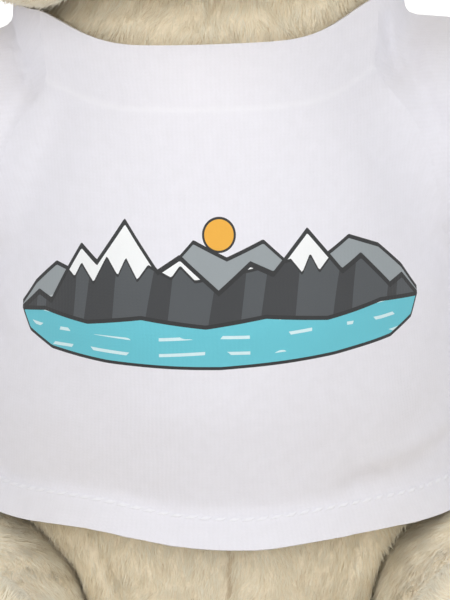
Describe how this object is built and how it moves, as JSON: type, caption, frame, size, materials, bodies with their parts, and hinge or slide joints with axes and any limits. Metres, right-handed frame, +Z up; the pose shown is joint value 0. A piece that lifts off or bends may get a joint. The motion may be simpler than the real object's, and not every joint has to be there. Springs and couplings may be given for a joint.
{
  "type": "sitting soft toy bear in a T-shirt",
  "caption": "Sitting cream plush toy bear in a white short-sleeved T-shirt, with stuffed arms and legs that swing on their seams.",
  "frame": {"origin": "on the floor, under the middle of the toy's overall box", "axes": "+Z up, -Y to the front where the face and soles point, +X to the right of someone who looks at the face"},
  "size_m": [0.2338, 0.1544, 0.2607],
  "materials": {
    "cream_plush": "short-pile cream plush",
    "sole_cloth": "tan short-pile cloth",
    "white_jersey": "white single-jersey knit",
    "nose_plastic": "dark brown, half gloss",
    "eye_plastic": "black, polished"
  },
  "bodies": {
    "body": {"torso": "cream_plush", "head": "cream_plush", "muzzle": "cream_plush", "nose": "nose_plastic", "eye_left": "eye_plastic", "eye_right": "eye_plastic", "ear_left": "cream_plush", "ear_right": "cream_plush", "tail": "cream_plush", "shirt_front": "white_jersey", "shirt_back": "white_jersey"},
    "left_arm": {"arm_left": "cream_plush", "sleeve_left": "white_jersey"},
    "right_arm": {"arm_right": "cream_plush", "sleeve_right": "white_jersey"},
    "left_leg": {"leg_left": "cream_plush", "sole_left": "sole_cloth"},
    "right_leg": {"leg_right": "cream_plush", "sole_right": "sole_cloth"}
  },
  "joints": [
    {"name": "shoulder_left", "type": "hinge", "parent": "body", "child": "left_arm", "pos_m": [-0.042, 0.02423, 0.126], "axis": [0, 1, 0], "range_deg": [-15, 35], "deforming": ["sleeve_left"]},
    {"name": "shoulder_right", "type": "hinge", "parent": "body", "child": "right_arm", "pos_m": [0.042, 0.02423, 0.126], "axis": [0, -1, 0], "range_deg": [-15, 35], "deforming": ["sleeve_right"]},
    {"name": "hip_left", "type": "hinge", "parent": "body", "child": "left_leg", "pos_m": [-0.05, 0.01623, 0.025], "axis": [1, 0, 0], "range_deg": [0, 60]},
    {"name": "hip_right", "type": "hinge", "parent": "body", "child": "right_leg", "pos_m": [0.05, 0.01623, 0.025], "axis": [1, 0, 0], "range_deg": [0, 60]}
  ]
}
